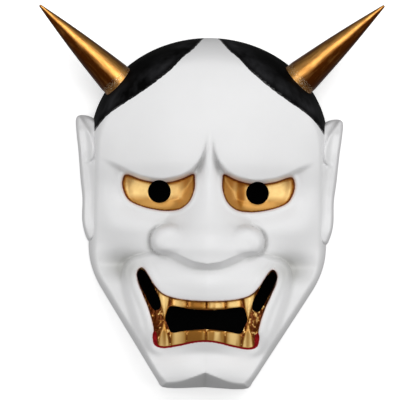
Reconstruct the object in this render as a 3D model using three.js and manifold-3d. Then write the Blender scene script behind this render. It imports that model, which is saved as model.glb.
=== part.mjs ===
// Hannya mask: a hollow cast-resin face shell, open at the back, with two separately cast horns
// whose roots pass through round sockets in its wall.
// X runs to the right as you face the mask, Y towards the crown, Z out of the face.
// The mask lies on its flat back rim, which is in the plane Z = 0.

import * as THREE from 'three';
import { mergeVertices } from 'three/addons/utils/BufferGeometryUtils.js';
import Module from 'manifold-3d';

const wasm = await Module();
wasm.setup();

// Driving dimensions, in millimetres and degrees
const faceWidth = 153; // across the head, without the ears
const faceHeight = 226; // crown to chin
const faceDepth = 80; // back rim to the tip of the nose
const earSpan = 171.8; // across both ears
const wallThickness = 3.6;
const rimHeight = 2; // upright edge round the back rim
const pupilDiameter = 14.4;
const lidStep = 0.8; // upright edge of the eyelids
const toothRelief = 2.0; // teeth proud of the gum
const hornRootDiameter = 22.4;
const hornTipDiameter = 1.8;
const hornTaperRun = 68; // length over which the horn tapers
const hornSwell = 0.6; // fullness of the horn halfway along
const leftHornLength = 66;
const rightHornLength = 68.6;
const leftHornRise = 43.2; // angle above the horizontal, seen from the front
const rightHornRise = 41.9;
const hornLean = 9; // forward tilt of both horns
const hornSeatHeight = 25; // horn axis over the back plane, at the head's outline
const hornRootReach = 24; // root carried inwards before the cavity trims it
const fitGap = 0.3; // clearance round each horn root

// Facets: columns and rows of each surface grid
const faceGrid = { columns: 38, rows: 50 };
const cavityGrid = { columns: 20, rows: 26 };
const earGrid = { columns: 6, rows: 12 };
const eyeGrid = { columns: 8, rows: 5 };
const mouthGrid = { columns: 14, rows: 4 };
const hornSides = 24;
const hornRings = 4;
const pupilSides = 24;
const farOut = 40; // how far cutters run past the surfaces that they cut

// The carving is drawn on a face 153 wide, 226 high and 80 deep, and stretched to the sizes above.
const drawn = { width: 153, height: 226, depth: 80, crownY: 102.5, templeY: 35, chinY: -123.5 };
const stretch = {
  x: faceWidth / drawn.width,
  y: faceHeight / drawn.height,
  z: faceDepth / drawn.depth,
};
const drawnHalf = drawn.width / 2;

// Small curve and blending functions
const clamp = (t) => Math.min(1, Math.max(0, t));

function ramp(from, to, t) {
  const k = clamp((t - from) / (to - from));
  return k * k * (3 - 2 * k);
}

function hump(x, y, cx, cy, rx, ry) {
  return Math.exp(-(((x - cx) / rx) ** 2) - ((y - cy) / ry) ** 2);
}

const crease = (distance, width) => Math.exp(-((distance / width) ** 2));

function smoothMax(a, b, k) {
  const h = clamp(0.5 + (0.5 * (a - b)) / k);
  return b + (a - b) * h + k * h * (1 - h);
}

const smoothMin = (a, b, k) => -smoothMax(-a, -b, k);

// A curve through (place, value) pairs that never overshoots them
function through(pairs) {
  const steps = pairs.slice(1).map(([x, y], i) => (y - pairs[i][1]) / (x - pairs[i][0]));
  const slopes = pairs.map((_, i) => {
    if (i === 0) return steps[0];
    if (i === pairs.length - 1) return steps[i - 1];
    const [before, after] = [steps[i - 1], steps[i]];
    return before * after <= 0 ? 0 : (2 * before * after) / (before + after);
  });
  return (place) => {
    const t = Math.min(pairs.at(-1)[0], Math.max(pairs[0][0], place));
    let i = 0;
    while (i < pairs.length - 2 && t >= pairs[i + 1][0]) i += 1;
    const [[x0, y0], [x1, y1]] = [pairs[i], pairs[i + 1]];
    const run = x1 - x0;
    const s = (t - x0) / run;
    return (
      y0 * (1 + 2 * s) * (1 - s) ** 2 +
      run * slopes[i] * s * (1 - s) ** 2 +
      y1 * s * s * (3 - 2 * s) +
      run * slopes[i + 1] * s * s * (s - 1)
    );
  };
}

// A closed loop rounded through its points
function roundedLoop(points, perSpan) {
  const curve = new THREE.CatmullRomCurve3(
    points.map(([x, y]) => new THREE.Vector3(x, y, 0)), true, 'catmullrom', 0.5);
  const count = points.length * perSpan;
  return Array.from({ length: count }, (_, i) => {
    const p = curve.getPoint(i / count);
    return [p.x, p.y];
  });
}

// Distance from a loop's edge, positive inside it
function depthInside(loop) {
  return (x, y) => {
    let nearest = Infinity;
    let sign = 1;
    loop.forEach(([ax, ay], i) => {
      const [bx, by] = loop[(i + loop.length - 1) % loop.length];
      const [ex, ey, wx, wy] = [bx - ax, by - ay, x - ax, y - ay];
      const t = clamp((wx * ex + wy * ey) / (ex * ex + ey * ey));
      nearest = Math.min(nearest, (wx - ex * t) ** 2 + (wy - ey * t) ** 2);
      const [above, below, left] = [y >= ay, y < by, ex * wy > ey * wx];
      if (above === below && below === left) sign = -sign;
    });
    return -sign * Math.sqrt(nearest);
  };
}

const mirrored = (points) => [
  ...points,
  ...points.filter(([x]) => x > 0).reverse().map(([x, y]) => [-x, y]),
];

// Outlines, drawn on the right half of the face
const jawCorner = { y: -59.5, halfWidth: 68, slope: 0.635, rounding: 9 };

function halfWidthAt(y) {
  const up = (y - drawn.templeY) / (drawn.crownY - drawn.templeY);
  if (y > drawn.templeY) return drawnHalf * Math.sqrt(clamp(1 - up * up));
  const jawLine = jawCorner.halfWidth + (y - jawCorner.y) * jawCorner.slope;
  return smoothMin(drawnHalf, jawLine, jawCorner.rounding);
}

function headOutline() {
  const [arcSteps, sideSteps, sideEndY] = [22, 34, -118.5];
  const half = [];
  for (let i = 0; i < arcSteps; i += 1) {
    const angle = ((90 - (90 * i) / arcSteps) * Math.PI) / 180;
    const rise = (drawn.crownY - drawn.templeY) * Math.sin(angle);
    half.push([i === 0 ? 0 : drawnHalf * Math.cos(angle), drawn.templeY + rise]);
  }
  for (let i = 0; i <= sideSteps; i += 1) {
    const y = drawn.templeY + ((sideEndY - drawn.templeY) * i) / sideSteps;
    half.push([halfWidthAt(y), y]);
  }
  const chin = [[29.6, -120.6], [28, -122.3], [24.5, -123.2], [18, -123.5], [9, -123.1], [0, -122.6]];
  return mirrored([...half, ...chin]);
}

const headLoop = headOutline();
const eyeLoop = roundedLoop([
  [9.6, 14.6], [17, 11.4], [25, 9.2], [33, 9.0], [42, 10.4], [52.2, 13.6], [54.8, 9], [54, 3],
  [50.6, -2.8], [43.5, -6.4], [34, -8.7], [25.5, -9.4], [17.5, -8], [11.6, -3], [8.7, 4.5], [8.5, 11],
], 2);
const mouthLoop = roundedLoop(mirrored([
  [0, -64.8], [10.9, -64.5], [20.6, -63.2], [27.6, -60.6], [32.6, -55.8], [36, -50.6], [39.2, -46],
  [41.9, -45], [44.2, -48.4], [43.4, -54], [40.6, -61], [37.1, -69], [34.4, -77], [32.9, -84],
  [33.2, -88.5], [31.8, -93.5], [26.5, -95.1], [16.6, -93.4], [8.3, -91.3], [0, -90.4],
]), 2);
const muzzleLoop = roundedLoop(mirrored([
  [0, -36], [30, -35.5], [40, -37.5], [47.5, -40], [52.2, -45], [53, -52], [50.8, -62],
  [46.5, -75], [42.5, -87], [38, -97], [28, -103], [0, -103],
]), 2);
const earLoop = roundedLoop([
  [70, 45], [75, 49.6], [81.6, 51.4], [85.9, 49.4], [85.4, 40], [83.9, 28], [82.4, 11], [80.9, -2],
  [80.9, -15], [79.2, -24], [76.2, -29.6], [71, -27], [66, -10], [64, 15], [66, 35],
], 2);
const mouthGap = roundedLoop(mirrored([
  [0, -70.6], [10, -70.2], [20, -68.6], [23.6, -69.4], [24.8, -72.5], [25.8, -76.8], [24, -81],
  [21.5, -85.3], [13.5, -84], [0, -82.8],
]), 2);
const cornerGap = roundedLoop([
  [41.2, -46.2], [43.9, -49.6], [42.1, -55.6], [38.7, -62.2], [35.2, -68.8], [32.2, -71.8],
  [28.9, -70], [29.1, -65.2], [32.1, -59], [36.8, -50.2],
], 2);
const headDepth = depthInside(headLoop);
const eyeDepth = depthInside(eyeLoop);
const mouthDepth = depthInside(mouthLoop);
const muzzleDepth = depthInside(muzzleLoop);
const earDepth = depthInside(earLoop);

// Head form: the height of the face's middle line, and how far the sides fall away from it
const middleHeight = through([
  [-123, 54], [-112, 58], [-100, 57], [-88, 60], [-72, 63], [-55, 63.5], [-42, 60], [-30, 56],
  [-12, 54], [5, 56], [22, 60], [40, 61], [60, 58], [80, 52], [95, 44], [103, 40],
]);
const sideFall = through([
  [-123, 8], [-100, 24], [-60, 36], [-30, 33], [0, 28], [30, 26], [60, 22], [103, 18]]);
const sideCurve = through([[-123, 1.7], [-50, 1.5], [0, 1.9], [40, 2.4], [103, 2.4]]);
const rimRound = through([[-123, 9], [-112, 6], [-60, 6], [-20, 7], [30, 8], [50, 12], [70, 17], [102, 20]]);
const chinCleft = { y: -119, reach: 8, rx: 14, ry: 9 };

// Brow edge: its height over the eye, from the glabella furrow out to the temple
const browEdge = through([
  [0.8, 41], [1.8, 35], [2.8, 31], [4.6, 25.5], [7.5, 20.3], [12, 15.8], [20, 12], [30, 10.4],
  [40, 11.6], [50, 15], [60, 19.6], [68, 23],
]);
const browStep = 0.5;
const socketReach = through([[8, 11], [18, 10], [30, 9]]); // side at which the eye socket is at full depth

function brow(side, y) {
  const slope = (browEdge(side + browStep) - browEdge(side)) / browStep;
  const above = (y - browEdge(side)) / Math.sqrt(1 + slope * slope);
  const forehead = ramp(33, 43, y);
  const lobe = Math.max(ramp(-2.2, 1.2, above), forehead);
  const swell = 2.2 * hump(side, y, 28, 22, 26, 14) * Math.max(ramp(-1.6, 1.6, above), forehead);
  const socket = 8.5 * ramp(0.6, socketReach(y), side) * (1 - ramp(46, 68, side)) * ramp(-24, 2, y);
  return swell - socket * (1 - lobe);
}

// Nose: a ridge line with a falling cross-section, joined to two wings, with a lower edge that
// the underside slopes back from
const noseRidge = through([
  [-46, 77], [-38, 78], [-32, 79], [-25, 77.5], [-15, 71], [-5, 65.5], [5, 62], [15, 60.4], [25, 61.2],
  [33, 61.6], [40, 60], [50, 50], [103, 0],
]);
const noseWidth = through([
  [-44, 22], [-32, 24], [-20, 20], [-10, 15], [0, 11], [10, 8], [20, 5], [30, 4], [40, 3]]);
const noseFall = through([
  [-44, 11], [-32, 12], [-20, 12], [-10, 10.5], [0, 9], [10, 8], [20, 5.5], [30, 2.5], [40, 1]]);
const noseEdge = through([
  [0, -41.2], [8, -39.8], [14, -37.4], [20, -35], [26, -33.6], [33, -33], [40, -31]]);
const noseUndercut = through([[0, 1.9], [10, 1.5], [20, 1.4], [40, 1.6]]);
const noseJoin = through([[-45, 2], [-24, 2.5], [-13, 6], [12, 6], [24, 2]]);
const noseWing = { x: 23.4, y: -28, rx: 12.8, ry: 10.8, foot: 54, height: 14.5, skirt: 60, join: 2.6 };

function nose(side, y) {
  const beyond = Math.max(side - noseWing.x, 0);
  const bridge = noseRidge(y) - noseFall(y) * (side / noseWidth(y)) ** 1.8 - 0.07 * beyond * beyond;
  const reach = ((side - noseWing.x) / noseWing.rx) ** 2 + ((y - noseWing.y) / noseWing.ry) ** 2;
  const dome = noseWing.height * Math.sqrt(clamp(1 - reach * reach));
  const wing = noseWing.foot + dome - noseWing.skirt * Math.max(reach - 1, 0);
  const below = Math.max(noseEdge(side) - y, 0);
  const undercut = noseUndercut(side) * below * ramp(0, 1.2, below);
  return smoothMax(bridge, wing, 6) - undercut - 200 * ramp(40, 50, side);
}

// Muzzle: the raised plate round the mouth, with a crisper edge beside the nose and cheeks
function muzzle(x, y) {
  const plate = muzzleDepth(x, y);
  const crisp = ramp(-56, -44, y);
  return (4.5 + crisp) * ramp(-3.5 + 2 * crisp, 4 - 2.2 * crisp, plate) * (1 - ramp(-82, -100, y));
}

// Chin: its lower edge, from the middle out to the jaw, which the underside slopes back from
const chinEdge = through([[0, -109.4], [8, -112.6], [16, -116], [24, -118.2], [30, -119.4], [60, -121]]);
const chinUndercut = 2.5;

// The face without its pockets and before the rim turns it down to the back plane
function faceRelief(x, y) {
  const side = Math.abs(x);
  const lip = mouthDepth(x, y);
  const upperLip = ramp(-76, -64, y) * (1 - ramp(26, 38, side));
  let z = middleHeight(y) - sideFall(y) * (side / drawnHalf) ** sideCurve(y);
  z += brow(side, y);
  z += 6.5 * hump(side, y, 56, -16, 20, 13); // cheekbone
  z -= 3 * hump(side, y, 72, 0, 9, 30); // temple, in front of the ear
  z -= 12.5 * hump(side, y, 50, -43.5, 16, 8.5) * (1 - ramp(-1.8, 0.8, muzzleDepth(x, y))); // hollow cheek
  z += muzzle(x, y);
  z += 4 * hump(x, y, 0, -55, 30, 11); // upper lip
  const join = noseJoin(y) + (noseWing.join - noseJoin(y)) * ramp(24, 32, side);
  z = smoothMax(z, nose(side, y), join);
  z -= 1.4 * hump(side, y, 15.5, -16, 5, 5.5); // dip between the bridge and the wing
  z += 1.6 * crease(lip + 2.6, 2.4) * (1 - 0.85 * upperLip); // rolled edge of the lips
  z += 2 * hump(side, y, 14, -107, 13, 8); // chin
  const below = Math.max(chinEdge(side) - y, 0);
  return z - chinUndercut * below * ramp(0, 2.6, below);
}

// Pockets: the eyeball and the gum behind the lips
const eyeball = { x: 31, y: 3, front: 41.8, radius: 36, outwardFall: 0.12, heightSqueeze: 1.15 };
const eyeWall = { steep: 3.6, gentle: 0.7, outerCorner: 1.7 };
const pupil = { x: 31, y: 2.9 };
const gum = { front: 63.5, sideFall: 17, halfWidth: 44 };

// A dome for the eyeball, met by walls that slope gently below and beside the nose, steeply elsewhere
function eyeFloor(side, y) {
  const dx = side - eyeball.x;
  const dy = (y - eyeball.y) * eyeball.heightSqueeze;
  const dome = Math.sqrt(Math.max(eyeball.radius ** 2 - dx * dx - dy * dy, 0)) - eyeball.radius;
  const ball = eyeball.front - eyeball.outwardFall * dx + dome;
  const gentle = Math.max(ramp(4, -4, y) * (1 - ramp(42, 53, side)), ramp(25, 15, side));
  const slope = eyeWall.steep + (eyeWall.gentle - eyeWall.steep) * gentle;
  const wallSlope = slope + (eyeWall.outerCorner - slope) * ramp(44, 50, side) * ramp(11, 5, y);
  return smoothMax(ball, faceRelief(side, y) - lidStep - wallSlope * Math.max(eyeDepth(side, y), 0), 1.5);
}

const gumFloor = (x) => gum.front - gum.sideFall * (x / gum.halfWidth) ** 2;

// How far the rim has turned the surface down at a distance from the outline: 0 at it, 1 inside
function rimTurn(distance, x, y) {
  const cleft = chinCleft.reach * hump(x, y, 0, chinCleft.y, chinCleft.rx, chinCleft.ry);
  const k = 1 - clamp(distance / (rimRound(y) + cleft));
  return Math.sqrt(clamp(1 - k ** 2.2));
}

// Surface heights in the drawn face's millimetres
const faceHeightAt = (x, y) => faceRelief(x, y) * rimTurn(headDepth(x, y), x, y);

function pocketedRelief(x, y) {
  const side = Math.abs(x);
  if (eyeDepth(side, y) > 0) return Math.min(eyeFloor(side, y), faceRelief(x, y));
  if (mouthDepth(x, y) > 0) return Math.min(gumFloor(x), faceRelief(x, y));
  return faceRelief(x, y);
}

// The inside follows the outside, a wall's thickness behind it, with the carving softened
const innerSoftening = 4;

function cavityHeightAt(x, y) {
  let lowest = pocketedRelief(x, y) - wallThickness;
  for (const share of [0.35, 0.7, 1]) {
    for (let k = 0; k < 10; k += 1) {
      const angle = (k * Math.PI) / 5;
      const radius = share * (wallThickness + innerSoftening);
      const sample = pocketedRelief(x + radius * Math.cos(angle), y + radius * Math.sin(angle));
      lowest = Math.min(lowest, sample - wallThickness * Math.sqrt(1 - share * share));
    }
  }
  return lowest * rimTurn(headDepth(x, y) - wallThickness, x, y);
}

// Ear: a leaf that slopes back along the side of the head, with a rolled outer edge
const earOuter = through([[-30, 76], [-15, 81], [0, 81], [28, 84], [50, 86]]);
const earFold = through([[21, 75.3], [24, 72.6], [30, 71.8], [36, 73.3], [43, 77], [48, 80.4], [51, 82.8]]);
// Height at which the ear leaves the side of the face, and its slope down from there
const earRoot = through([
  [-30, 22], [-20, 25], [-10, 25.6], [0, 25.8], [10, 28], [20, 31.6], [30, 34], [40, 33], [45, 28], [50, 22]]);
const earLeaf = { width: 16, root: 72, slope: 0.95 };

function earHeightAt(side, y) {
  const across = (side - (earOuter(y) - earLeaf.width)) / earLeaf.width;
  const fold = side - earFold(y);
  const foldOn = ramp(19, 23, y);
  let z = earRoot(y) - earLeaf.slope * (side - earLeaf.root);
  z += 1.2 * crease(across - 0.86, 0.14); // rolled outer edge
  z -= 1.2 * crease(across - 0.62, 0.16) * ramp(-22, -8, y); // hollow beside it
  z += 1.6 * hump(side, y, 78, -20, 5, 8); // lobe
  z -= 2.2 * crease(fold + 0.3, 1) * foldOn;
  z += 1.2 * crease(fold - 2.2, 1.6) * foldOn;
  z -= 3 * ramp(0, -2, fold) * ramp(28, 44, y);
  const edge = 1 - clamp(earDepth(side, y) / 2.6);
  return z * Math.sqrt(clamp(1 - 0.9 * edge * edge));
}

// Solids
function toSolid(geometry) {
  const bare = geometry.clone();
  for (const name of Object.keys(bare.attributes)) {
    if (name !== 'position') bare.deleteAttribute(name);
  }
  const merged = mergeVertices(bare, 1e-4);
  return new wasm.Manifold(new wasm.Mesh({
    numProp: 3,
    vertProperties: new Float32Array(merged.attributes.position.array),
    triVerts: new Uint32Array(merged.index.array),
  }));
}

function toGeometry(solid) {
  const mesh = solid.getMesh();
  const geometry = new THREE.BufferGeometry();
  geometry.setAttribute('position', new THREE.BufferAttribute(mesh.vertProperties, 3));
  geometry.setIndex(new THREE.BufferAttribute(mesh.triVerts, 1));
  geometry.computeVertexNormals();
  return geometry;
}

// A loop moved inwards by a distance, square to its edge
function insetLoop(loop, distance) {
  return loop.map(([x, y], i) => {
    const [px, py] = loop[(i + loop.length - 1) % loop.length];
    const [nx, ny] = loop[(i + 1) % loop.length];
    const length = Math.hypot(nx - px, ny - py);
    return [x + ((ny - py) / length) * distance, y - ((nx - px) / length) * distance];
  });
}

// The point a share of the way along the stretch of a loop between two of its places
function alongLoop(loop, from, to) {
  const stretchPoints = [];
  const count = (to - from + loop.length) % loop.length;
  for (let i = 0; i <= count; i += 1) stretchPoints.push(loop[(from + i) % loop.length]);
  const lengths = [0];
  for (let i = 1; i < stretchPoints.length; i += 1) {
    const [[ax, ay], [bx, by]] = [stretchPoints[i - 1], stretchPoints[i]];
    lengths.push(lengths[i - 1] + Math.hypot(bx - ax, by - ay));
  }
  return (share) => {
    const target = share * lengths.at(-1);
    let i = 1;
    while (i < lengths.length - 1 && lengths[i] < target) i += 1;
    const t = (target - lengths[i - 1]) / (lengths[i] - lengths[i - 1]);
    const [[ax, ay], [bx, by]] = [stretchPoints[i - 1], stretchPoints[i]];
    return [ax + (bx - ax) * t, ay + (by - ay) * t];
  };
}

// The place in a loop that is nearest to a corner
function nearestPlace(loop, [cx, cy]) {
  const gaps = loop.map(([x, y]) => Math.hypot(x - cx, y - cy));
  return gaps.indexOf(Math.min(...gaps));
}

// A grid of points filling a loop, whose four corners are given clockwise from the top left
function filledGrid(loop, corners, { columns, rows }, across, down) {
  const [topLeft, topRight, lowRight, lowLeft] = corners.map((c) => nearestPlace(loop, c));
  const top = alongLoop(loop, topLeft, topRight);
  const right = alongLoop(loop, topRight, lowRight);
  const low = alongLoop(loop, lowRight, lowLeft);
  const left = alongLoop(loop, lowLeft, topLeft);
  const points = [];
  for (let j = 0; j <= rows; j += 1) {
    for (let i = 0; i <= columns; i += 1) {
      const [u, v] = [across(i / columns), down(j / rows)];
      points.push([0, 1].map((axis) => {
        const edges = (1 - v) * top(u)[axis] + v * low(1 - u)[axis]
          + (1 - u) * left(1 - v)[axis] + u * right(v)[axis];
        const bilinear = (1 - v) * ((1 - u) * top(0)[axis] + u * top(1)[axis])
          + v * ((1 - u) * low(1)[axis] + u * low(0)[axis]);
        return edges - bilinear;
      }));
    }
  }
  return points;
}

// Grid spacing: even, or packed by a density along the way from 0 to 1
const evenly = (t) => t;

function packed(density) {
  const samples = 240;
  const sums = [0];
  for (let i = 0; i < samples; i += 1) sums.push(sums[i] + density((i + 0.5) / samples));
  return (t) => {
    const target = t * sums[samples];
    let i = 1;
    while (i < samples && sums[i] < target) i += 1;
    return (i - 1 + (target - sums[i - 1]) / (sums[i] - sums[i - 1])) / samples;
  };
}

// Closer lines at the rims, and across the brows, eyes and nose
const acrossFace = packed(through([[0, 2.4], [0.07, 0.9], [0.2, 1.1], [0.8, 1.1], [0.93, 0.9], [1, 2.4]]));
const downFace = packed(through([
  [0, 2.4], [0.08, 0.9], [0.26, 0.5], [0.36, 1.4], [0.46, 1.5], [0.6, 1.3], [0.66, 1.7], [0.72, 0.8],
  [0.9, 0.9], [1, 2.4],
]));

// A closed block between a carved surface over a loop and a flat face at another height
function carvedBlock({ loop, corners, grid, across = evenly, down = evenly, heightAt, flatAt }) {
  const { columns, rows } = grid;
  const carved = filledGrid(loop, corners, grid, across, down)
    .map(([x, y]) => [x * stretch.x, y * stretch.y, heightAt(x, y)]);
  const flat = carved.map(([x, y]) => [x, y, flatAt]);
  const below = carved.length;
  const at = (i, j) => j * (columns + 1) + i;
  const gap = (a, b) => Math.hypot(...carved[a].map((value, k) => value - carved[b][k]));
  const faces = [];
  for (let j = 0; j < rows; j += 1) {
    for (let i = 0; i < columns; i += 1) {
      const [a, b, c, d] = [at(i, j), at(i, j + 1), at(i + 1, j + 1), at(i + 1, j)];
      const pair = gap(a, c) < gap(b, d) ? [[a, b, c], [a, c, d]] : [[a, b, d], [b, c, d]];
      for (const [p, q, r] of pair) faces.push([p, q, r], [below + p, below + r, below + q]);
    }
  }
  const border = [];
  for (let j = 0; j < rows; j += 1) border.push(at(0, j));
  for (let i = 0; i < columns; i += 1) border.push(at(i, rows));
  for (let j = rows; j > 0; j -= 1) border.push(at(columns, j));
  for (let i = columns; i > 0; i -= 1) border.push(at(i, 0));
  border.forEach((place, k) => {
    const next = border[(k + 1) % border.length];
    faces.push([place, below + place, next], [next, below + place, below + next]);
  });
  const upwards = carved[0][2] > flatAt;
  const geometry = new THREE.BufferGeometry();
  geometry.setAttribute('position', new THREE.Float32BufferAttribute([...carved, ...flat].flat(), 3));
  geometry.setIndex(faces.map(([a, b, c]) => (upwards ? [a, b, c] : [a, c, b])).flat());
  return toSolid(geometry);
}

// A straight-sided cutter through a loop, from one height to another
function prism(loop, low, high) {
  const shape = new THREE.Shape(loop.map(([x, y]) => new THREE.Vector2(x * stretch.x, y * stretch.y)));
  const geometry = new THREE.ExtrudeGeometry(shape, { depth: high - low, bevelEnabled: false });
  return toSolid(geometry.translate(0, 0, low));
}

const mirrorLoop = (loop) => loop.map(([x, y]) => [-x, y]).reverse();
const mirrorCorners = ([a, b, c, d]) => [b, a, d, c].map(([x, y]) => [-x, y]);
const bothSides = (make) => [make(1), make(-1)];
const flip = (loop, side) => (side > 0 ? loop : mirrorLoop(loop));
const flipCorners = (corners, side) => (side > 0 ? corners : mirrorCorners(corners));

const headCorners = [[-68, 66], [68, 66], [29.6, -120.6], [-29.6, -120.6]];
const eyeCorners = [[8.5, 12], [52.2, 13.6], [50.6, -2.8], [13, -5]];
const mouthCorners = [[-41.6, -45.6], [41.6, -45.6], [31.8, -93.5], [-31.8, -93.5]];
const earCorners = [[70, 45], [85.9, 49.4], [76.2, -29.6], [71, -27]];

function headBlock() {
  return carvedBlock({
    loop: headLoop, corners: headCorners, grid: faceGrid, across: acrossFace, down: downFace, flatAt: 0,
    heightAt: (x, y) => Math.max(rimHeight, faceHeightAt(x, y) * stretch.z),
  });
}

function cavityBlock() {
  return carvedBlock({
    loop: insetLoop(headLoop, wallThickness / Math.min(stretch.x, stretch.y)),
    corners: headCorners, grid: cavityGrid, across: acrossFace, down: downFace, flatAt: -farOut,
    heightAt: (x, y) => Math.max(rimHeight / 2, cavityHeightAt(x, y) * stretch.z),
  });
}

function earBlock(side) {
  const widening = (earSpan / 2 - (drawnHalf * stretch.x)) / (85.9 - drawnHalf);
  const outward = (x) => (x > drawnHalf ? drawnHalf + ((x - drawnHalf) * widening) / stretch.x : x);
  const loop = earLoop.map(([x, y]) => [outward(x), y]);
  const drawnSide = (x) => (x > drawnHalf ? drawnHalf + ((x - drawnHalf) * stretch.x) / widening : x);
  return carvedBlock({
    loop: flip(loop, side), corners: flipCorners(earCorners, side), grid: earGrid, flatAt: 0,
    heightAt: (x, y) => Math.max(rimHeight, earHeightAt(drawnSide(Math.abs(x)), y) * stretch.z),
  });
}

function eyePocket(side) {
  return carvedBlock({
    loop: flip(eyeLoop, side), corners: flipCorners(eyeCorners, side), grid: eyeGrid,
    flatAt: faceDepth + farOut,
    heightAt: (x, y) => eyeFloor(Math.abs(x), y) * stretch.z,
  });
}

function mouthPocket() {
  return carvedBlock({
    loop: mouthLoop, corners: mouthCorners, grid: mouthGrid, flatAt: faceDepth + farOut,
    heightAt: (x) => gumFloor(x) * stretch.z,
  });
}

function pupilHole(side) {
  const hole = new THREE.CylinderGeometry(
    pupilDiameter / 2, pupilDiameter / 2, faceDepth + 2 * farOut, pupilSides);
  hole.rotateX(Math.PI / 2);
  return toSolid(hole.translate(side * pupil.x * stretch.x, pupil.y * stretch.y, faceDepth / 2));
}

// Teeth: blunt blocks on the gum beside the middle gap, and a pair of fangs at each end
const incisors = { innerEdge: 0.6, middle: 11.6, outerEdge: 21.8, gap: 0.9 };
const upperRow = { root: -61, edge: -69.9, curl: 1.2 };
const lowerRow = { root: -94, edge: -83.6, curl: -1.6 };
const fangs = {
  upper: [[23.2, -60], [30.2, -58], [29.4, -68], [26.6, -77.5], [24.6, -70]],
  lower: [[22.6, -95], [29.6, -95.2], [29, -88], [26.8, -79.2], [23.4, -87]],
};

function tooth(loop) {
  const [xs, ys] = [loop.map(([x]) => x), loop.map(([, y]) => y)];
  const [cx, cy] = [xs, ys].map((list) => (Math.min(...list) + Math.max(...list)) / 2);
  const [rx, ry] = [xs, ys].map((list) => (Math.max(...list) - Math.min(...list)) / 2);
  const crown = (x, y) => toothRelief * (1.15 - 0.5 * ((x - cx) / rx) ** 4 - 0.3 * ((y - cy) / ry) ** 4);
  const surface = prism(loop, (gumFloor(cx) - gum.sideFall / 4) * stretch.z, faceDepth + farOut);
  const lid = carvedBlock({
    loop: roundedBox(cx, cy, rx + 1, ry + 1), corners: boxCorners(cx, cy, rx + 1, ry + 1),
    grid: { columns: 3, rows: 3 }, flatAt: faceDepth + 2 * farOut,
    heightAt: (x, y) => gumFloor(x) * stretch.z + crown(x, y),
  });
  return surface.subtract(lid);
}

const boxCorners = (cx, cy, rx, ry) => [
  [cx - rx, cy + ry], [cx + rx, cy + ry], [cx + rx, cy - ry], [cx - rx, cy - ry]];

function roundedBox(cx, cy, rx, ry) {
  const corners = boxCorners(cx, cy, rx, ry);
  return corners.flatMap(([x, y], i) => {
    const [nx, ny] = corners[(i + 1) % 4];
    return [[x, y], [x + (nx - x) / 3, y + (ny - y) / 3], [x + (2 * (nx - x)) / 3, y + (2 * (ny - y)) / 3]];
  });
}

function incisorLoops({ root, edge, curl }) {
  const { innerEdge, middle, outerEdge, gap } = incisors;
  const edgeAt = (x) => edge + curl * (x / outerEdge) ** 2;
  return [[innerEdge, middle - gap / 2], [middle + gap / 2, outerEdge]].map(([from, to]) => {
    const loop = [[from, root], [to, root], [to, edgeAt(to)], [from, edgeAt(from)]];
    return root > edge ? loop : loop.reverse();
  });
}

function teeth() {
  const loops = [...incisorLoops(upperRow), ...incisorLoops(lowerRow), fangs.upper,
    [...fangs.lower].reverse()];
  return loops.flatMap((loop) => bothSides((side) => tooth(flip(loop, side))));
}

// Horns: straight cones set on the head's outline, at an angle round its crown
const hornSeats = {
  left: { side: -1, around: 36.5, length: leftHornLength, rise: leftHornRise },
  right: { side: 1, around: 39.5, length: rightHornLength, rise: rightHornRise },
};
const inRadians = THREE.MathUtils.degToRad;

function hornPlace({ side, around, rise }) {
  const angle = inRadians(around);
  const seat = new THREE.Vector3(
    side * drawnHalf * Math.cos(angle) * stretch.x,
    (drawn.templeY + (drawn.crownY - drawn.templeY) * Math.sin(angle)) * stretch.y,
    hornSeatHeight,
  );
  const lean = inRadians(hornLean);
  const axis = new THREE.Vector3(
    side * Math.cos(inRadians(rise)) * Math.cos(lean),
    Math.sin(inRadians(rise)) * Math.cos(lean),
    Math.sin(lean),
  );
  return { seat, turn: new THREE.Quaternion().setFromUnitVectors(new THREE.Vector3(0, 1, 0), axis) };
}

// Revolved about its own Y axis, with the seat at the origin and the root running down from it
function hornBody(length, extra) {
  const tipRadius = hornTipDiameter / 2;
  const seatRadius = tipRadius + ((hornRootDiameter / 2 - tipRadius) * length) / hornTaperRun;
  const profile = [
    new THREE.Vector2(0, -hornRootReach),
    new THREE.Vector2(seatRadius + extra, -hornRootReach),
  ];
  for (let i = 0; i < hornRings; i += 1) {
    const share = i / hornRings;
    const swell = hornSwell * Math.sin(Math.PI * share);
    const radius = seatRadius + (tipRadius - seatRadius) * share + swell;
    profile.push(new THREE.Vector2(radius + extra, length * share));
  }
  profile.push(new THREE.Vector2(tipRadius + extra, length - tipRadius));
  profile.push(new THREE.Vector2(tipRadius * 0.6 + extra, length - tipRadius * 0.3));
  profile.push(new THREE.Vector2(0, length + extra));
  return toSolid(new THREE.LatheGeometry(profile, hornSides));
}

function placed(solid, { seat, turn }) {
  const matrix = new THREE.Matrix4().compose(seat, turn, new THREE.Vector3(1, 1, 1));
  return solid.transform(matrix.toArray());
}

function unplaced(solid, { seat, turn }) {
  const matrix = new THREE.Matrix4().compose(seat, turn, new THREE.Vector3(1, 1, 1)).invert();
  return solid.transform(matrix.toArray());
}

const cavity = cavityBlock();

function maskShell() {
  let shell = headBlock();
  for (const ear of bothSides(earBlock)) shell = shell.add(ear);
  for (const pocket of bothSides(eyePocket)) shell = shell.subtract(pocket);
  shell = shell.subtract(mouthPocket());
  for (const piece of teeth()) shell = shell.add(piece);
  shell = shell.subtract(cavity);
  const top = faceDepth + farOut;
  const gaps = [prism(mouthGap, -farOut, top), ...bothSides((s) => prism(flip(cornerGap, s), -farOut, top))];
  for (const gap of [...gaps, ...bothSides(pupilHole)]) shell = shell.subtract(gap);
  for (const seat of Object.values(hornSeats)) {
    shell = shell.subtract(placed(hornBody(seat.length, fitGap), hornPlace(seat)));
  }
  return toGeometry(shell);
}

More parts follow.
